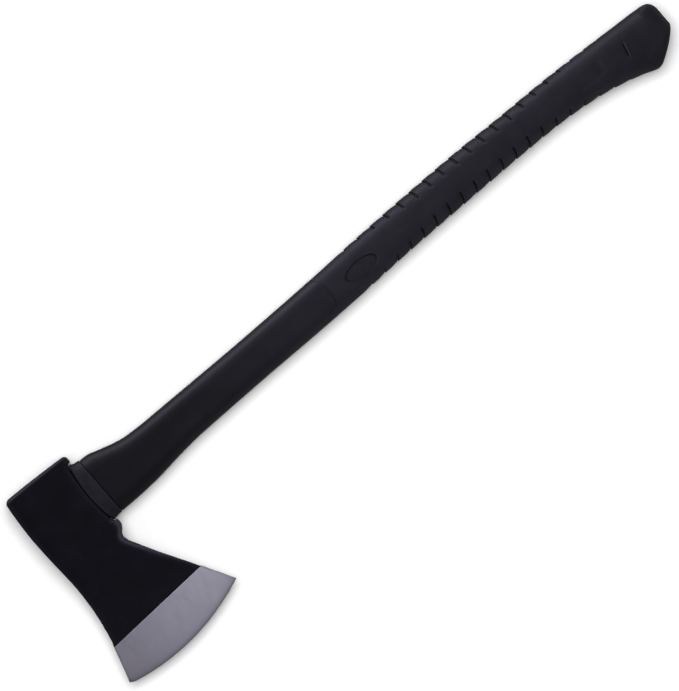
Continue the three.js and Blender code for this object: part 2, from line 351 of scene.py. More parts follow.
def cloud_group():
    """Soft uneven patches between two colours. Size is in millimetres."""
    tree, given, result = new_group(
        "cloudy_patches",
        [("Size", FLOAT, 30.0), ("Dark", COLOR, (0, 0, 0, 1)), ("Light", COLOR, (1, 1, 1, 1))],
        [("Color", COLOR), ("Mask", FLOAT)],
    )
    place = node(tree, "ShaderNodeTexCoord").outputs["Object"]
    scale = math_node(tree, "DIVIDE", 1000.0, given.outputs["Size"])
    noise = node(
        tree,
        "ShaderNodeTexNoise",
        {"Vector": place, "Scale": scale, "Detail": 5.0, "Roughness": 0.62, "Distortion": 0.4},
    )
    mask = map_range(tree, noise.outputs["Fac"], 0.33, 0.68)
    mixed = node(
        tree,
        "ShaderNodeMix",
        {"Factor": mask, "A": given.outputs["Dark"], "B": given.outputs["Light"]},
        data_type="RGBA",
    )
    tree.links.new(mixed.outputs["Result"], result.inputs["Color"])
    tree.links.new(mask, result.inputs["Mask"])
    return tree


def edge_wear_and_highlight_group():
    """Rubbed edges: strongest where the mesh says there is an edge, broken up into flecks. The edge
    marks also come out whole, for a painted highlight.
    """
    tree, given, result = new_group(
        "edge_wear_and_highlight",
        [("Amount", FLOAT, 0.5), ("Fleck size", FLOAT, 2.0)],
        [("Mask", FLOAT), ("Edge", FLOAT)],
    )
    place = node(tree, "ShaderNodeTexCoord").outputs["Object"]
    edge = node(tree, "ShaderNodeAttribute", attribute_name="edge").outputs["Fac"]
    scale = math_node(tree, "DIVIDE", 1000.0, given.outputs["Fleck size"])
    noise = node(tree, "ShaderNodeTexNoise", {"Vector": place, "Scale": scale, "Detail": 6.0})
    pushed = math_node(tree, "MULTIPLY", edge, given.outputs["Amount"])
    reach = math_node(tree, "ADD", noise.outputs["Fac"], pushed)
    mask = map_range(tree, reach, 0.78, 1.02)
    tree.links.new(mask, result.inputs["Mask"])
    tree.links.new(edge, result.inputs["Edge"])
    return tree


def dust_group():
    """Pale dust caught in hollows, and a thinner film on what faces up."""
    tree, given, result = new_group(
        "settled_dust",
        [("Film", FLOAT, 0.1), ("In hollows", FLOAT, 0.4), ("Speck size", FLOAT, 3.0)],
        [("Mask", FLOAT)],
    )
    place = node(tree, "ShaderNodeTexCoord").outputs["Object"]
    hollow = node(tree, "ShaderNodeAttribute", attribute_name="hollow").outputs["Fac"]
    facing = node(tree, "ShaderNodeNewGeometry").outputs["Normal"]
    upward = node(tree, "ShaderNodeSeparateXYZ", {0: facing}).outputs["Z"]
    scale = math_node(tree, "DIVIDE", 1000.0, given.outputs["Speck size"])
    noise = node(
        tree,
        "ShaderNodeTexNoise",
        {"Vector": place, "Scale": scale, "Detail": 6.0, "Roughness": 0.7},
    )
    patchy = map_range(tree, noise.outputs["Fac"], 0.4, 0.75)
    film = math_node(tree, "MULTIPLY", map_range(tree, upward, 0.2, 1.0), given.outputs["Film"])
    caught = math_node(tree, "MULTIPLY", hollow, given.outputs["In hollows"])
    total = math_node(tree, "ADD", film, caught)
    mask = math_node(tree, "MULTIPLY", total, patchy, clamp=True)
    tree.links.new(mask, result.inputs["Mask"])
    return tree


def along_group():
    """0 before one place along the object and 1 after another, in millimetres."""
    tree, given, result = new_group(
        "along_object", [("Start", FLOAT, 0.0), ("End", FLOAT, 1.0)], [("Mask", FLOAT)]
    )
    place = node(tree, "ShaderNodeTexCoord").outputs["Object"]
    metres = node(tree, "ShaderNodeSeparateXYZ", {0: place}).outputs["X"]
    millimetres = math_node(tree, "MULTIPLY", metres, 1000.0)
    mask = map_range(tree, millimetres, given.outputs["Start"], given.outputs["End"])
    tree.links.new(mask, result.inputs["Mask"])
    return tree


surface_grain = grain_group()
cloudy_patches = cloud_group()
edge_wear_and_highlight = edge_wear_and_highlight_group()
settled_dust = dust_group()
along_object = along_group()


def use_group(tree, group, **values):
    made = tree.nodes.new("ShaderNodeGroup")
    made.node_tree = group
    for title, value in values.items():
        socket = made.inputs[title.replace("_", " ")]
        if isinstance(value, bpy.types.NodeSocket):
            tree.links.new(value, socket)
        else:
            socket.default_value = value
    return made.outputs


def new_material(name, **constants):
    material = bpy.data.materials.new(name)
    material.use_nodes = True
    tree = material.node_tree
    shader = next(n for n in tree.nodes if n.type == "BSDF_PRINCIPLED")
    for title, value in constants.items():
        shader.inputs[title.replace("_", " ")].default_value = value
    return material, tree, shader


def blend_colors(tree, share, first, second):
    sockets = {"Factor": share, "A": first, "B": second}
    mixed = node(tree, "ShaderNodeMix", sockets, data_type="RGBA")
    return mixed.outputs["Result"]


def darken(tree, share, colour, keep):
    """Multiplies a colour by keep where share is 1."""
    sockets = {"Factor": share, "A": colour, "B": (keep, keep, keep, 1)}
    mixed = node(tree, "ShaderNodeMix", sockets, data_type="RGBA", blend_type="MULTIPLY")
    return mixed.outputs["Result"]


def set_relief(tree, shader, height, depth_mm, strength=0.6):
    relief = node(
        tree, "ShaderNodeBump", {"Height": height, "Strength": strength, "Distance": depth_mm * MM}
    )
    tree.links.new(relief.outputs["Normal"], shader.inputs["Normal"])


def ink(value, red=1.08, blue=1.50):
    """A dark neutral with a faint violet cast."""
    return (value * red, value, value * blue, 1)


def painted_steel():
    """Baked flat-black paint over a forged surface, rubbed thin along the edges, with a painted
    highlight along the lug, the beard's underside and the poll's chamfer.
    """
    material, tree, shader = new_material("painted_steel", Specular_IOR_Level=0.07)
    clouds = use_group(
        tree, cloudy_patches, Size=26.0, Dark=ink(0.0025, 1.14, 1.65), Light=ink(0.0037, 1.14, 1.65)
    )
    wear_and_highlight = use_group(tree, edge_wear_and_highlight, Amount=0.33, Fleck_size=1.1)
    forging = use_group(tree, surface_grain, Size=7.0, Roughen=0.5)
    orange_peel = use_group(tree, surface_grain, Size=0.9, Roughen=0.65)
    # Painted highlight: marked edges are painted lighter, most of all the lug, beard underside and
    # poll chamfer
    rubbed_and_highlit = blend_colors(tree, wear_and_highlight["Edge"], clouds["Color"], ink(0.028))
    worn = blend_colors(tree, wear_and_highlight["Mask"], rubbed_and_highlit, ink(0.022, 1.02, 1.1))
    tree.links.new(worn, shader.inputs["Base Color"])
    gloss = map_range(tree, orange_peel["Height"], 0.25, 0.75, 0.42, 0.58)
    tree.links.new(gloss, shader.inputs["Roughness"])
    height = math_node(
        tree, "ADD", math_node(tree, "MULTIPLY", forging["Height"], 3.0), orange_peel["Height"]
    )
    set_relief(tree, shader, height, 0.035)
    return material


def ground_steel():
    """The bare bevel: fine grinding marks across the blade, a painted highlight along the line where
    it starts, painted shade towards the edge and the toe, and darker painted shade on the honed
    strip at the edge."""
    material, tree, shader = new_material("ground_steel", Metallic=1.0)
    clouds = use_group(
        tree,
        cloudy_patches,
        Size=30.0,
        Dark=(0.432, 0.424, 0.442, 1),
        Light=(0.474, 0.466, 0.484, 1),
    )
    coarse = use_group(tree, surface_grain, Size=1.1, Stretch=(1, 0.035, 1), Roughen=0.7)
    fine = use_group(tree, surface_grain, Size=0.32, Stretch=(1, 0.05, 1), Roughen=0.75)
    marks = math_node(
        tree, "ADD", math_node(tree, "MULTIPLY", coarse["Height"], 0.6), fine["Height"]
    )
    honed_shade_mask = node(tree, "ShaderNodeAttribute", attribute_name="edge").outputs["Fac"]
    across = node(tree, "ShaderNodeAttribute", attribute_name="across_bevel").outputs["Fac"]
    toward_toe = use_group(tree, along_object, Start=-80.0, End=62.0)
    streak = map_range(tree, marks, 0.6, 1.05)
    ground = blend_colors(tree, streak, clouds["Color"], (0.464, 0.456, 0.474, 1))
    # Painted highlight along the line where the bevel starts
    start = math_node(tree, "MULTIPLY", map_range(tree, across, 0.03, 0.0), 0.5)
    start_highlighted = blend_colors(tree, start, ground, (0.73, 0.72, 0.74, 1))
    # Painted shade towards the edge
    shaded_toward_edge = darken(tree, across, start_highlighted, 0.84)
    # Painted shade towards the toe
    toward = darken(tree, toward_toe["Mask"], shaded_toward_edge, 0.60)
    # Painted shade on the honed strip at the edge
    honed_strip_shade = math_node(tree, "MULTIPLY", honed_shade_mask, 0.75)
    shaded = blend_colors(tree, honed_strip_shade, toward, (0.10, 0.098, 0.104, 1))
    tree.links.new(shaded, shader.inputs["Base Color"])
    gloss = map_range(tree, marks, 0.5, 1.1, 0.34, 0.46)
    tree.links.new(gloss, shader.inputs["Roughness"])
    set_relief(tree, shader, marks, 0.015, 0.5)
    return material


def moulded(name, dark, light, patch, grain, depth, gloss, specular, dust, fade=None):
    """Moulded black plastic or rubber: uneven tint, fine texture, lips painted lighter as rubbed
    wear and as a painted highlight, painted shade in hollows and a thin film of dust on what faces
    up.
    fade is where it starts and stops darkening along the handle, and the share of its colour that
    it keeps."""
    material, tree, shader = new_material(name, Specular_IOR_Level=specular)
    clouds = use_group(tree, cloudy_patches, Size=patch, Dark=ink(dark), Light=ink(light))
    texture = use_group(tree, surface_grain, Size=grain, Roughen=0.7)
    sink = use_group(tree, surface_grain, Size=24.0, Roughen=0.4)
    wear_and_highlight = use_group(tree, edge_wear_and_highlight, Amount=0.34, Fleck_size=1.2)
    film = use_group(tree, settled_dust, Film=dust, In_hollows=0.3 * dust, Speck_size=2.2)
    hollow = node(tree, "ShaderNodeAttribute", attribute_name="hollow").outputs["Fac"]
    tint_and_fade = clouds["Color"]
    if fade:
        fade_start, fade_end, keep = fade
        along = use_group(tree, along_object, Start=fade_start, End=fade_end)
        tint_and_fade = darken(tree, along["Mask"], tint_and_fade, keep)
    # Painted highlight on marked lips and rims, with rubbed wear
    rubbed_and_highlit = blend_colors(
        tree, math_node(tree, "MULTIPLY", wear_and_highlight["Edge"], 0.7), tint_and_fade, ink(3.6 * light)
    )
    worn = blend_colors(tree, wear_and_highlight["Mask"], rubbed_and_highlit, ink(3.4 * light))
    dusty = blend_colors(tree, film["Mask"], worn, (0.15, 0.142, 0.172, 1))
    # Painted shade in the grooves and on the oval's rim
    shaded = blend_colors(tree, math_node(tree, "MULTIPLY", hollow, 0.78), dusty, ink(0.1 * dark))
    tree.links.new(shaded, shader.inputs["Base Color"])
    tree.links.new(
        map_range(tree, texture["Height"], 0.3, 0.7, gloss[0], gloss[1]), shader.inputs["Roughness"]
    )
    height = math_node(
        tree, "ADD", math_node(tree, "MULTIPLY", sink["Height"], 4.0), texture["Height"]
    )
    set_relief(tree, shader, height, depth)
    return material


def poured_epoxy():
    """Dark epoxy, levelled out with faint ripples and a few specks."""
    material, tree, shader = new_material("poured_epoxy", Specular_IOR_Level=0.5)
    clouds = use_group(
        tree,
        cloudy_patches,
        Size=5.0,
        Dark=(0.011, 0.0105, 0.009, 1),
        Light=(0.022, 0.02, 0.016, 1),
    )
    ripple = use_group(tree, surface_grain, Size=6.0, Roughen=0.45)
    tree.links.new(clouds["Color"], shader.inputs["Base Color"])
    tree.links.new(
        map_range(tree, ripple["Height"], 0.3, 0.7, 0.16, 0.34), shader.inputs["Roughness"]
    )
    set_relief(tree, shader, ripple["Height"], 0.35)
    return material


def pulled_fibreglass():
    """Straight glass strands along the rod, in amber resin."""
    material, tree, shader = new_material("pulled_fibreglass", Specular_IOR_Level=0.5)
    strands = use_group(tree, surface_grain, Size=0.5, Stretch=(0.02, 1, 1), Roughen=0.7)
    share = map_range(tree, strands["Height"], 0.35, 0.68)
    colour = blend_colors(tree, share, (0.40, 0.30, 0.13, 1), (0.72, 0.66, 0.46, 1))
    tree.links.new(colour, shader.inputs["Base Color"])
    tree.links.new(
        map_range(tree, strands["Height"], 0.3, 0.7, 0.28, 0.5), shader.inputs["Roughness"]
    )
    set_relief(tree, shader, strands["Height"], 0.05)
    return material


def pale_backdrop():
    material, tree, shader = new_material("pale_backdrop", Specular_IOR_Level=0.1, Roughness=0.9)
    clouds = use_group(
        tree, cloudy_patches, Size=400.0, Dark=(0.86, 0.86, 0.86, 1), Light=(0.88, 0.88, 0.88, 1)
    )
    glossy = node(tree, "ShaderNodeLightPath").outputs["Is Glossy Ray"]
    tree.links.new(darken(tree, glossy, clouds["Color"], 0.3), shader.inputs["Base Color"])
    return material


steel_paint = painted_steel()
bevel_steel = ground_steel()
jacket_plastic = moulded(
    "jacket_plastic",
    dark=0.0068,
    light=0.0086,
    patch=34.0,
    grain=0.55,
    depth=0.028,
    gloss=(0.44, 0.56),
    specular=0.18,
    dust=0.006,
    # the jacket is painted darker towards the neck, as painted shade
    fade=(-290, -60, 0.40),
)
oval_plastic = moulded(
    "oval_plastic",
    dark=0.0074,
    light=0.0090,
    patch=14.0,
    grain=0.45,
    depth=0.028,
    gloss=(0.46, 0.58),
    specular=0.22,
    dust=0.010,
)
grip_rubber = moulded(
    "grip_rubber",
    dark=0.0082,
    light=0.0104,
    patch=22.0,
    grain=0.38,
    depth=0.045,
    gloss=(0.50, 0.64),
    specular=0.20,
    dust=0.010,
    fade=(-580, -635, 0.72),
)
collar_rubber = moulded(
    "collar_rubber",
    dark=0.0066,
    light=0.0088,
    patch=9.0,
    grain=0.40,
    depth=0.035,
    gloss=(0.48, 0.62),
    specular=0.16,
    dust=0.008,
)
epoxy = poured_epoxy()
fibreglass = pulled_fibreglass()


# ---------------------------------------------------------------- head


def head_ring(lower, upper, half, lower_round, upper_round, bow=0.0, toe=0.0):
    """One loop round the head, from the middle of its underside over the cheek to the middle of its
    top and back, with rounded corners. bow pushes its middle along Y and toe draws in its top
    corner. Also gives how much each point is painted lighter at an edge: a painted highlight, most
    of all along the lug and beard, and a little rubbed wear."""
    lower, upper = np.array(lower, float), np.array(upper, float)
    length = np.hypot(*(upper - lower))
    turn = np.linspace(0, math.pi / 2, 6)
    low_r, up_r = min(lower_round, 0.8 * half), min(upper_round, 0.8 * half)
    low_s, low_z = low_r * (1 - np.cos(turn)), half - low_r + low_r * np.sin(turn)
    up_s, up_z = length - up_r * (1 - np.cos(turn[::-1])), half - up_r + up_r * np.sin(turn[::-1])
    middle = np.linspace(low_r, length - up_r, 62)[1:-1]
    s = np.concatenate([[0, 0, 0], low_s, middle, up_s, [length, length, length]])
    flat_low = (half - low_r) * np.array([0, 0.4, 0.8])
    flat_up = (half - up_r) * np.array([0.8, 0.4, 0])
    z = np.concatenate([flat_low, low_z, np.full(len(middle), half), up_z, flat_up])
    u = s / length
    x = lower[0] + (upper[0] - lower[0]) * u
    bowed = lower[1] + (upper[1] - lower[1]) * u + 4 * bow * u * (1 - u)
    y = bowed - toe * np.exp((x - upper[0]) / 2)
    reach = np.clip((np.abs(x) - cheek_flat) / cheek_flat, 0, 1)
    drop = np.where(x > 0, 1.4, 0.4) * reach**2 * z / mid_plane
    from_lower, from_upper = np.maximum(s - low_r, 0), np.maximum(length - up_r - s, 0)
    # Painted highlight along the lug and the beard's underside, weaker on the other edges, with a
    # little rubbed wear
    lug = ramp(lower[1], 24, 29) * (1 - 0.75 * ramp(lower[1], 48, 96))
    lower_highlight_and_wear = (0.10 + 0.80 * lug) * np.exp(-from_lower / 1.1)
    upper_highlight_and_wear = 0.10 * np.exp(-from_upper / 0.9)
    edge_highlight_and_wear = np.maximum(lower_highlight_and_wear, upper_highlight_and_wear)
    edge_highlight_and_wear *= np.clip(z / half * 1.3, 0, 1)
    side = np.stack([x, y, z - drop], axis=1)
    return whole_ring(side), np.concatenate([edge_highlight_and_wear, edge_highlight_and_wear[-2:0:-1]])


def poll_rings():
    """From the slightly crowned hammer face over its rounded chamfer to the corner of the cheek."""
    rings = []
    for angle in np.linspace(0, math.pi / 2, 9):
        straight = angle / (math.pi / 2)
        setback = 0.5 * straight + 0.5 * (1 - math.cos(angle))
        widen = 0.5 * straight + 0.5 * math.sin(angle)
        half = poll_rim["half"] + (cheek_line(-34.0) - poll_rim["half"]) * widen
        ends = []
        for side in ("lower", "upper"):
            rim, corner = poll_rim[side], poll_corner[side]
            x = rim[0] + (corner[0] - rim[0]) * widen
            y = rim[1] + (corner[1] - rim[1]) * setback
            ends.append((x, y))
        ring, edge = head_ring(ends[0], ends[1], half, 2.6, 3.0, -poll_bow)
        # The middle of the poll's rounded chamfer gets a painted highlight as well
        mask = np.maximum(edge, 0.85 * math.sin(2 * angle) ** 2)
        rings.append((ring, mask))
    return rings


def cheek_rings():
    """Straight loops from behind the hammer face to the start of the bevel."""
    lower_round = smooth_line(
        [(-40, 2.4), (10, 1.8), (27, 1.6), (30, 2.6), (45, 2.8), (70, 1.9), (104, 0.7)]
    )
    upper_round = smooth_line([(-40, 3.0), (0, 1.8), (60, 1.5), (108, 0.8)])
    rings = []
    fine = [-38.5, -37, -35.9, -35.3, -34.9, -34.6, -34.3, -34.0]
    plain = np.arange(-33, 26.5, 1.5)
    lug = np.arange(26.6, 44, 0.35)
    blade = np.arange(45, 104, 1.25)
    for y in [*fine, *plain, *lug, *blade]:
        share = ramp(y, -39.8, -35)
        lower = (under_line(y) if y > -35.2 else poll_corner["lower"][0], y)
        start = poll_corner["upper"][0] * (1 - share) + top_line(-35.2) * share
        upper = (top_line(y) if y > -35.2 else start, y - 1.2 * (1 - ramp(y, -39.8, -34)))
        half = cheek_line(y) if y > -35 else cheek_line(-35.0)
        bow = -poll_bow * (1 - ramp(y, -38.5, -34.5))
        rings.append(head_ring(lower, upper, half, lower_round(y), upper_round(y), bow))
    return rings


def bevel_rings():
    """The ground bevel, from its straight start to the curved edge. The last few millimetres are
    honed a little fuller, and that strip is marked for painted shade."""
    rings = []
    last_half = cheek_line(104.0)
    steps = np.concatenate(
        [[0, 0.012, 0.03], np.linspace(0.06, 0.84, 22), np.linspace(0.855, 1, 16)]
    )
    for t in steps:
        lower = [bevel_lower[0][i] + (bevel_lower[1][i] - bevel_lower[0][i]) * t for i in (0, 1)]
        upper = [bevel_upper[0][i] + (bevel_upper[1][i] - bevel_upper[0][i]) * t for i in (0, 1)]
        half = last_half + (edge_half - last_half) * t + 0.9 * t * (1 - t)
        to_edge = (1 - t) * bevel_reach
        half += 0.20 * (1 - math.exp(-to_edge / 1.0)) * t
        # Marks the honed strip for painted shade
        honed_shade_mask = math.exp(-to_edge / 1.6)
        corner = 0.7 * (1 - t) + 0.08
        ring, edge = head_ring(lower, upper, half, corner, corner, edge_bow * t, toe_round * t**4)
        rings.append((ring, np.full(len(edge), honed_shade_mask), np.full(len(edge), t)))
    return rings


def eye_cutter():
    """The eye: a straight oval hole that flares a little at the top of the head."""
    resin_low, resin_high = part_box("eye_resin")
    centre = (resin_low.y + resin_high.y) / 2 / MM
    half_y = (resin_high.y - resin_low.y) / 2 / MM + gap
    half_z = (resin_high.z - resin_low.z) / 2 / MM + gap
    stations = [(-50, 0), (31.4, 0), (32.2, 0.25), (33.2, 0.9), (36, 3)]
    rings = [plain_oval_ring(x, centre, half_y + w, half_z + w, 96) for x, w in stations]
    vertices, faces = loft(rings)
    return make_piece("eye_cutter", vertices, faces, steel_paint)


def make_head():
    painted = [*poll_rings(), *cheek_rings()]
    ground = bevel_rings()
    rings = [r for r, _ in painted] + [r for r, _, _ in ground]
    edges = [e for _, e in painted] + [e for _, e, _ in ground]
    across = [np.zeros(len(e)) for _, e in painted] + [t for _, _, t in ground]
    vertices, faces = loft(rings)
    values = {"edge": edges, "across_bevel": across}
    head = make_piece("forged_head", vertices, faces, steel_paint, values, sharp=32)
    head.data.materials.append(bevel_steel)
    start_y = np.array([bevel_lower[0][1], bevel_upper[0][1]])
    start_x = np.array([bevel_lower[0][0], bevel_upper[0][0]])
    cut_away(head, eye_cutter(), sharp=32)
    for face in head.data.polygons:
        x, y = face.center.x / MM, face.center.y / MM
        if y > np.interp(x, start_x, start_y):
            face.material_index = 1
    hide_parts("axe_head")
    return head


# ---------------------------------------------------------------- collar


def make_collar():
    """A flared rubber ring between the jacket's shoulder and the arch under the head."""
    foot = {"back": -31.1, "front": 25.6, "half": 13.4}
    mouth = {"back": -33.4, "front": 26.6, "half": 15.4}
    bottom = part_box("head_collar")[0].x / MM
    flare = smooth_line([(0, 0), (0.35, 0.16), (0.62, 0.42), (0.86, 0.86), (0.93, 1), (1, 1)])
    resin_low, resin_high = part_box("eye_resin")
    centre_y = (resin_low.y + resin_high.y) / 2 / MM
    hole_y, hole_z = 26.0, 10.5
    profile = [(0, -1.0), (0.0, -0.4), (0.015, -0.12), (0.05, 0.05), (0.10, 0.10), (0.16, 0.06)]
    profile += [(t, 0.0) for t in np.linspace(0.24, 0.94, 13)]
    profile += [(0.975, -0.05), (1.0, -0.4), (1.0, -1.2)]
    rings, edges = [], []
    for t, swell in profile:
        size = {k: foot[k] + (mouth[k] - foot[k]) * flare(t) for k in foot}
        half_y = (size["front"] - size["back"]) / 2
        u, v, _, _ = oval(half_y, size["half"], 2.4, 2.4)
        y = (size["front"] + size["back"]) / 2 + (half_y + swell) * u
        rim_x = under_line(np.clip(y, *arch_ends)) - collar_gap
        x = bottom + (rim_x - bottom) * t
        rings.append(whole_ring(np.stack([x, y, (size["half"] + swell) * v], axis=1)))
        # Both rims are painted lighter: a painted highlight, with rubbed wear
        edges.append(np.full(len(rings[-1]), 0.3 if t > 0.95 or 0.0 < t < 0.08 else 0.0))
    count = len(rings[0])
    for end in (1, 0):
        ring = plain_oval_ring(0, centre_y, hole_y, hole_z, count)
        rim_x = under_line(np.clip(ring[:, 1], *arch_ends)) - collar_gap
        ring[:, 0] = bottom + (rim_x - bottom) * end
        rings.append(ring)
        edges.append(np.zeros(count))
    vertices, faces = loft(rings, around=True)
    collar = make_piece("neck_collar", vertices, faces, collar_rubber, {"edge": edges})
    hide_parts("head_collar")
    return collar


# ---------------------------------------------------------------- handle jacket and grip

section_power = 2.4
flat_power = 7.0
groove_depth_mm = 1.55
mould_line_width = 0.45
mould_line_height = 0.11


def front_power(x):
    """The oval turns squarer at the diagonal cut of the butt, so that the cut face is flat."""
    return section_power + (flat_power - section_power) * ramp(-x, 628, 642)


def back_power(x):
    return section_power + (flat_power - section_power) * ramp(-x, 646, 658)


def seam_shift(x, u):
    """The seam between jacket and grip bows towards the head at the handle's edges."""
    return seam_bow * np.clip(1 - np.abs(x - seam_x) / 16, 0, 1) * u**2


def chevron_shift(x, arc):
    """The grip's ribs lean towards the butt as they run in from both edges."""
    lean = math.tan(math.radians(20)) * ramp(x, -618, -603) * (1 - ramp(x, -321, -306))
    return -lean * 16 * np.tanh(arc / 16)


def groove_depth(x0, arc, front):
    """Cross-grooves between the ribs: a steep wall towards the butt and a long slope towards the
    head. They end round on the faces, short at both ends of the grip and long in its middle."""
    n = int(np.clip(round((first_rib_x - x0) / rib_pitch), 0, rib_count - 1))
    across = x0 - (first_rib_x - n * rib_pitch)
    if across > 0:
        profile = 1 - 0.72 * ramp(across, 0.2, 1.7) - 0.28 * ramp(across, 1.0, 7.5)
    else:
        profile = 1 - ramp(-across, 0.25, 0.85)
    early, late = max(5 - n, 0) / 5, max(n - 12, 0) / 7
    reach = np.where(front, 19.5, 18.5) - 12.5 * early**1.1 - 15 * late**1.1
    return groove_depth_mm * profile * (1 - ramp(arc, reach - 2.5, reach + 0.4))


def face_marks(x, y):
    """Depths of the butt's sunk panel, of its short cross-groove with a ridge beside it on a fainter
    curved line, and of the rounded edge of the oval window."""
    across = np.minimum(ramp(x, -598.5, -593.5), 1 - ramp(x, -568, -562))
    along = np.minimum(ramp(y, -1.6, 0.0), 1 - ramp(y, 10.0, 13.0))
    panel = 0.30 * across * along
    from_middle = y - 8.8
    off_line = x + 619.8 - 0.235 * from_middle + 0.005 * from_middle**2
    ends = 1 - ramp(np.abs(from_middle), 5.2, 6.4)
    cut = 1.35 * np.exp(-(((off_line - 0.95) / 0.75) ** 2)) * ends
    ridge = 0.50 * np.exp(-(((off_line + 0.75) / 0.75) ** 2)) * ends
    faint = np.exp(-((off_line / 0.9) ** 2)) * (1 - ramp(np.abs(from_middle), 12, 18))
    step = 0.10 * (1 - ramp(off_line, -1.2, 0.2)) * ramp(x, -652, -634)
    far_x = (x - medallion["x"]) / (medallion["half_x"] + 0.2)
    far_y = (y - medallion["y"]) / (medallion["half_y"] + 0.2)
    beyond = (np.hypot(far_x, far_y) - 1) * medallion["half_y"]
    rim = 0.10 * (1 - ramp(beyond, 0.0, 0.6))
    return panel + cut - ridge + 0.14 * faint + step + rim


def handle_ring(x0, inset=0.0, ribbed=False, seam=0.0, shift=0.0, hollow=False):
    """One loop round the handle, and for each point its depth below the plain skin."""
    lean = grip_wall if hollow else 0.0

    def sizes(x):
        back = np.maximum(back_line(x), back_line(x - lean)) + inset
        front = np.minimum(front_line(x), front_line(x - lean)) - inset
        return back, front, np.minimum(half_line(x), half_line(x - lean)) - inset

    back, front, half = sizes(x0)
    powers = back_power(x0), front_power(x0)
    u, v, arcs, total = oval((front - back) / 2, half, *powers, mould_line_width)
    arc = np.minimum(arcs, total - arcs)
    x = x0 + seam_shift(x0, u) + shift
    if ribbed:
        x = x + chevron_shift(x0, arc)
    back, front, half = sizes(x)
    half_y = (front - back) / 2
    y, z = (front + back) / 2 + half_y * u, half * v
    depth = np.zeros(len(x))
    if ribbed:
        grooves = groove_depth(x0, arc, arcs < total / 2)
        depth = grooves + face_marks(x, y) * ramp(v, 0.3, 0.6)
    if seam:
        depth = depth - seam * (1 - ramp(arc, 0.12, 0.42))
    slope_y, slope_z = np.gradient(y), np.gradient(z)
    size = np.hypot(slope_y, slope_z)
    out_y, out_z = slope_z / size, -slope_y / size
    out_y[[0, -1]], out_z[[0, -1]] = (1, -1), (0, 0)
    side = np.stack([x, y - out_y * depth, z - out_z * depth], axis=1)
    side[[0, -1], 2] = 0
    return whole_ring(side), np.concatenate([depth, depth[-2:0:-1]])


def grip_stations():
    """Loops close together across each groove, and wider apart on the ribs."""
    wall = [-1.3, -1.0, -0.85, -0.7, -0.55, -0.4, -0.25]
    slope = [0.0, 0.2, 0.5, 0.8, 1.1, 1.4, 1.7, 2.3]
    groove = np.array([*wall, *slope])
    ribs = []
    for n in range(rib_count):
        centre = first_rib_x - n * rib_pitch
        ribs += list(centre + groove)
        ribs += list(centre - np.linspace(2.2, rib_pitch - 3.3, 9))
    lead = list(np.arange(-322, seam_x - 1, 1.6))
    butt = list(np.arange(-616, -612, 1.0)) + list(np.arange(-623.5, -616, 0.3))
    butt += list(np.arange(-661, -624, 0.8)) + [-661.5, -661.8]
    stations = [x for x in [*ribs, *lead, *butt] if butt_x < x < seam_x - 0.9]
    return np.unique(np.round(stations, 3))


def grip_cutter():
    """Oval windows for the medallion, through both faces."""
    angle = np.linspace(0, 2 * math.pi, 96, endpoint=False)
    loop = []
    for z in (-30, 30):
        x = medallion["x"] + medallion["half_x"] * np.cos(angle)
        y = medallion["y"] + medallion["half_y"] * np.sin(angle)
        loop.append(np.stack([x, y, np.full(len(angle), z)], axis=1))
    vertices = np.concatenate(loop)
    count = len(angle)
    faces = [(j, (j + 1) % count, count + (j + 1) % count, count + j) for j in range(count)]
    faces += [list(range(count)), list(range(count, 2 * count))]
    return make_piece("window_cutter", vertices, faces, grip_rubber)


def make_grip():
    """The rubber grip: ribbed outside, hollow inside for the jacket, closed over the butt."""
    wall = grip_wall - gap
    rings, depths = [], []
    for x in [butt_x, *grip_stations()]:
        ring, depth = handle_ring(x, ribbed=True)
        rings.append(ring)
        depths.append(depth)
    for beyond, inset in [(-0.15, 0.01), (0, 0.05), (0.04, 0.16), (0.04, wall)]:
        rings.append(handle_ring(seam_x + beyond, inset)[0])
        depths.append(np.zeros(len(rings[-1])))
    for x in under_grip:
        rings.append(handle_ring(x, wall, hollow=True)[0])
        depths.append(np.zeros(len(rings[-1])))
    vertices, faces = loft(rings)
    depths = np.array(depths)
    # Groove depth gives painted shade in the grooves and a little dust; the lips get a painted
    # highlight
    values = {"hollow": np.clip(depths / 1.35, 0, 1) ** 1.3, "edge": groove_lip_highlights(depths)}
    grip = make_piece("rubber_grip", vertices, faces, grip_rubber, values)
    cut_away(grip, grip_cutter())
    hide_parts("grip_sleeve")
    return grip


def groove_lip_highlights(depths):
    """Marks the lips of the grooves on the side of the butt, where the depth starts to grow, for a
    painted highlight on them.
    """
    change = np.clip(np.gradient(depths, axis=0), 0, 1)
    lip = change * (depths < 0.4)
    return np.clip(lip * 5.0, 0, 1)


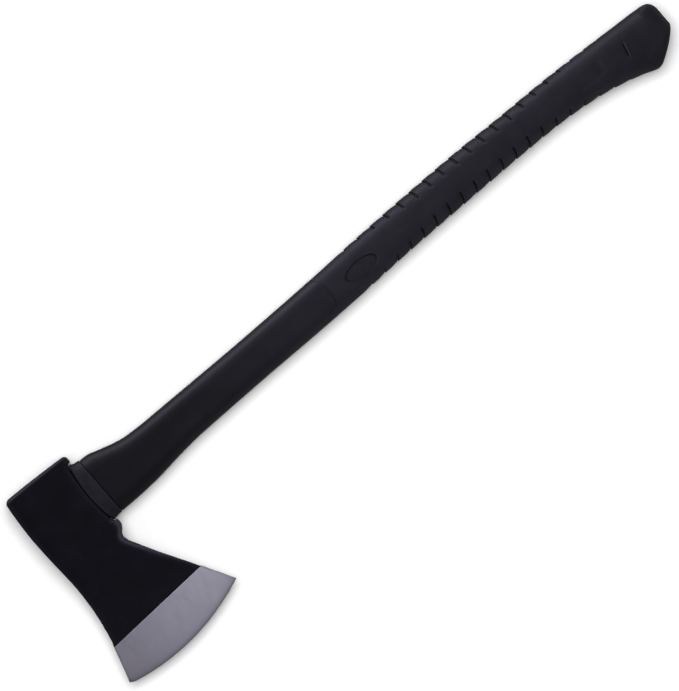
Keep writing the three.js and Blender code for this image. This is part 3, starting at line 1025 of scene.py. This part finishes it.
def make_jacket():
    """The hard jacket: a slimmer length inside the grip, the bare shaft and neck with a fine
    moulding line along both edges, the shoulder, and the tang that stands in the eye."""
    tang = cad_surface("handle_jacket")
    tang_back, tang_front, tang_half = [line(0.0) for line in measure_handle(tang, [-0.5, 0.5])]
    tang_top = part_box("handle_jacket")[1].x / MM
    core_low, core_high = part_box("fibreglass_core")
    core_y = (core_high.y - core_low.y) / 2 / MM + gap
    core_z = (core_high.z - core_low.z) / 2 / MM + gap
    core_end = core_low.x / MM - gap
    rings = [handle_ring(x, grip_wall, hollow=True)[0] for x in reversed(under_grip)]
    edge_start = [(0.1, grip_wall), (0.1, 0.24), (0.17, 0.13), (0.4, 0.08)]
    rings += [handle_ring(seam_x, inset, shift=shift)[0] for shift, inset in edge_start]
    shaft = [seam_x + gap + 1, *np.arange(-293, shoulder_x - 0.8, 2.0)]
    rings += [handle_ring(x, seam=mould_line_height)[0] for x in shaft]
    for short, inset in [(0.5, 0.05), (0.15, 0.25), (0, 0.6)]:
        rings.append(handle_ring(shoulder_x - short, inset)[0])
    count = len(rings[0])
    centre = (tang_back + tang_front) / 2
    half_y = (tang_front - tang_back) / 2
    for x, shrink in [(shoulder_x, 0), (0, 0), (tang_top - 1, 0), (tang_top, 1)]:
        rings.append(plain_oval_ring(x, centre, half_y - shrink, tang_half - shrink, count))
    rings += [plain_oval_ring(x, 0, core_y, core_z, count) for x in (tang_top, -300, core_end)]
    edges = np.zeros((len(rings), count))
    vertices, faces = loft(rings)
    jacket = make_piece("handle_shell", vertices, faces, jacket_plastic, {"edge": edges})
    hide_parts("handle_jacket")
    return jacket


def make_medallion(name, side):
    """An oval of the jacket that shows at the bottom of the grip's window, with three low pads and
    painted shade on its rim, heaviest on one side."""
    clearance, skirt = 0.05, 2.8
    half_x, half_y = medallion["half_x"] - clearance, medallion["half_y"] - clearance
    sink, pad_rise, pad_apart, pad_radius = 0.50, 0.26, 8.6, 3.1
    shares = [1.0, *np.linspace(1.0, 0.03, 34)]
    angle = np.linspace(0, 2 * math.pi, 144, endpoint=False)
    rows, hollows = [], []
    for i, share in enumerate(shares):
        x = medallion["x"] + half_x * share * np.cos(angle)
        y = medallion["y"] + half_y * share * np.sin(angle)
        from_middle = x - medallion["x"]
        along = from_middle - pad_apart * np.clip(np.round(from_middle / pad_apart), -1, 1)
        from_pad = np.hypot(along, y - medallion["y"])
        level = pad_rise * (1 - ramp(from_pad, pad_radius - 0.8, pad_radius)) - sink
        rows.append(np.stack([x, y, handle_height(x, y) + (level if i else -skirt)], axis=1))
        # Painted shade on the rim's inner wall, heaviest on the side away from the light
        shaded = 0.12 + 0.88 * ramp(-np.sin(angle) + 0.7 * np.abs(np.cos(angle)), 0.0, 0.9)
        hollows.append(ramp(share, 0.84, 0.92) * shaded)
    count = len(angle)
    faces = []
    for i in range(len(rows) - 1):
        for j in range(count):
            k = (j + 1) % count
            faces.append((i * count + j, i * count + k, (i + 1) * count + k, (i + 1) * count + j))
    faces += [list(range(count)), list(range((len(rows) - 1) * count, len(rows) * count))]
    placed = np.concatenate(rows) * np.array([1, 1, side])
    badge = make_piece(name, placed, faces, oval_plastic, {"hollow": np.concatenate(hollows)})
    return badge


def handle_height(x, y):
    """How far the plain skin of the handle stands above the mid-plane at a place on its face."""
    back, front, half = back_line(x), front_line(x), half_line(x)
    share = np.abs((y - (front + back) / 2) / ((front - back) / 2))
    return half * (1 - share**section_power) ** (1 / section_power)


# ---------------------------------------------------------------- the object


pieces = [
    make_head(),
    make_collar(),
    make_jacket(),
    make_medallion("shell_oval_upper", 1),
    make_medallion("shell_oval_lower", -1),
    make_grip(),
]
for piece in pieces:
    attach(piece, "root")

for kept, finish in (("eye_resin", epoxy), ("fibreglass_core", fibreglass)):
    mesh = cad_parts[kept].data
    mesh.materials.clear()
    mesh.materials.append(finish)


# ---------------------------------------------------------------- floor, light and camera

view_offset = Vector((0.03425, -0.0115, 0))
object_centre = Vector(((cad_low.x + cad_high.x) / 2, (cad_low.y + cad_high.y) / 2, 0))
view_centre = object_centre + view_offset
view_turn = math.radians(139.21)
world_light = 0.34
overhead_gloss = 0.06
picture_up = Vector((-math.sin(view_turn), math.cos(view_turn), 0))
picture_right = Vector((math.cos(view_turn), math.sin(view_turn), 0))


def make_floor():
    reach = 30.0
    corners = [(-reach, -reach, 0), (reach, -reach, 0), (reach, reach, 0), (-reach, reach, 0)]
    mesh = bpy.data.meshes.new("studio_floor")
    mesh.from_pydata(corners, [], [(0, 1, 2, 3)])
    mesh.materials.append(pale_backdrop())
    floor = bpy.data.objects.new("studio_floor", mesh)
    bpy.context.scene.collection.objects.link(floor)


def make_softbox(name, direction, distance, width, height, watts, shines=True, lights_matt=True):
    """An oblong lamp that looks at the object from a direction, and doesn't show itself. One that
    only shows as a reflection is a little cooler."""
    lamp = bpy.data.lights.new(name, "AREA")
    lamp.shape = "RECTANGLE"
    lamp.size, lamp.size_y, lamp.energy = width, height, watts
    if not lights_matt:
        lamp.color = (0.95, 0.92, 1.12)
    made = bpy.data.objects.new(name, lamp)
    towards = direction.normalized()
    made.location = view_centre + towards * distance
    made.rotation_mode = "QUATERNION"
    made.rotation_quaternion = (-towards).to_track_quat("-Z", "Y")
    made.visible_camera = False
    made.visible_glossy = shines
    made.visible_diffuse = lights_matt
    bpy.context.scene.collection.objects.link(made)
    return made


def raised(direction, degrees):
    """A level direction, lifted off the floor by an angle."""
    angle = math.radians(degrees)
    return direction * math.cos(angle) + Vector((0, 0, 1)) * math.sin(angle)


def make_strip(name, direction, length, width, watts):
    """A strip lamp that only shows as a reflection, in rounded edges."""
    strip_distance = 2.2
    make_softbox(name, direction, strip_distance, length, width, watts, lights_matt=False)


def make_lights():
    """A large overhead softbox makes the short shadows. Four low strips and a card above the blade
    only show as reflections, in the rounded edges and in the ground bevel."""
    up = Vector((0, 0, 1))
    tilt = math.radians(9)
    towards = picture_up * 0.9 - picture_right * 0.43
    key_side = towards * math.sin(tilt) + up * math.cos(tilt)
    make_softbox("overhead_key", key_side, 5.0, 3.3, 3.3, 268, shines=False)
    make_strip("back_strip", raised(Vector((0, -1, 0)), 14), 2.6, 0.7, 46)
    make_strip("butt_strip", raised(Vector((-0.97, -0.24, 0)), 14), 1.8, 0.6, 9)
    make_strip("blade_side_strip", raised(Vector((0, 1, 0)), 4), 2.6, 0.4, 5)
    make_strip("head_top_strip", raised(Vector((1, 0, 0)), 4), 1.8, 0.4, 1.5)
    card = make_softbox("blade_card", up, 0.95, 0.6, 0.5, 1.18, lights_matt=False)
    card.location = Vector((-0.01, 0.34, 0.95))


def make_world():
    """White to the camera and even as a light. As a reflection it is dark overhead and brightest
    low down on the poll's side."""
    world = bpy.data.worlds.new("white_studio")
    world.use_nodes = True
    tree = world.node_tree
    background = next(n for n in tree.nodes if n.type == "BACKGROUND")
    background.inputs["Color"].default_value = (1, 1, 1, 1)
    rays = node(tree, "ShaderNodeLightPath").outputs
    direction = node(tree, "ShaderNodeTexCoord").outputs["Generated"]
    toward_poll = node(
        tree, "ShaderNodeVectorMath", {0: direction, 1: (-0.35, -0.93, 0)}, operation="DOT_PRODUCT"
    ).outputs["Value"]
    height = node(tree, "ShaderNodeSeparateXYZ", {0: direction}).outputs["Z"]
    side = map_range(tree, toward_poll, -0.7, 0.8, 0.10, 0.45)
    low_down = map_range(tree, height, 0.1, 0.85, 1.0, 0.0)
    reflected = math_node(tree, "ADD", math_node(tree, "MULTIPLY", side, low_down), overhead_gloss)
    shown = map_range(tree, rays["Is Camera Ray"], 0.0, 1.0, world_light, 1.0)
    change = math_node(tree, "SUBTRACT", reflected, world_light)
    swapped = math_node(tree, "MULTIPLY", rays["Is Glossy Ray"], change)
    tree.links.new(math_node(tree, "ADD", shown, swapped), background.inputs["Strength"])
    bpy.context.scene.world = world


def make_camera():
    """Straight down, with the handle running from the lower left to the upper right. The view takes
    in picture_height along its long side, at plane_height above the floor."""
    lens_mm, long_side_mm = 400.0, 36.0
    picture_height, plane_height = 0.5856, 0.025
    camera = bpy.data.cameras.new("studio_camera")
    camera.lens = lens_mm
    camera.sensor_width = long_side_mm
    camera_height = plane_height + picture_height * lens_mm / long_side_mm
    camera.clip_end = 100
    made = bpy.data.objects.new("studio_camera", camera)
    made.location = view_centre + Vector((0, 0, camera_height))
    made.rotation_euler = (0, 0, view_turn)
    bpy.context.scene.collection.objects.link(made)
    bpy.context.scene.camera = made


make_floor()
make_lights()
make_world()
make_camera()
bpy.context.scene.view_settings.view_transform = "Standard"
bpy.context.scene.view_settings.look = "None"
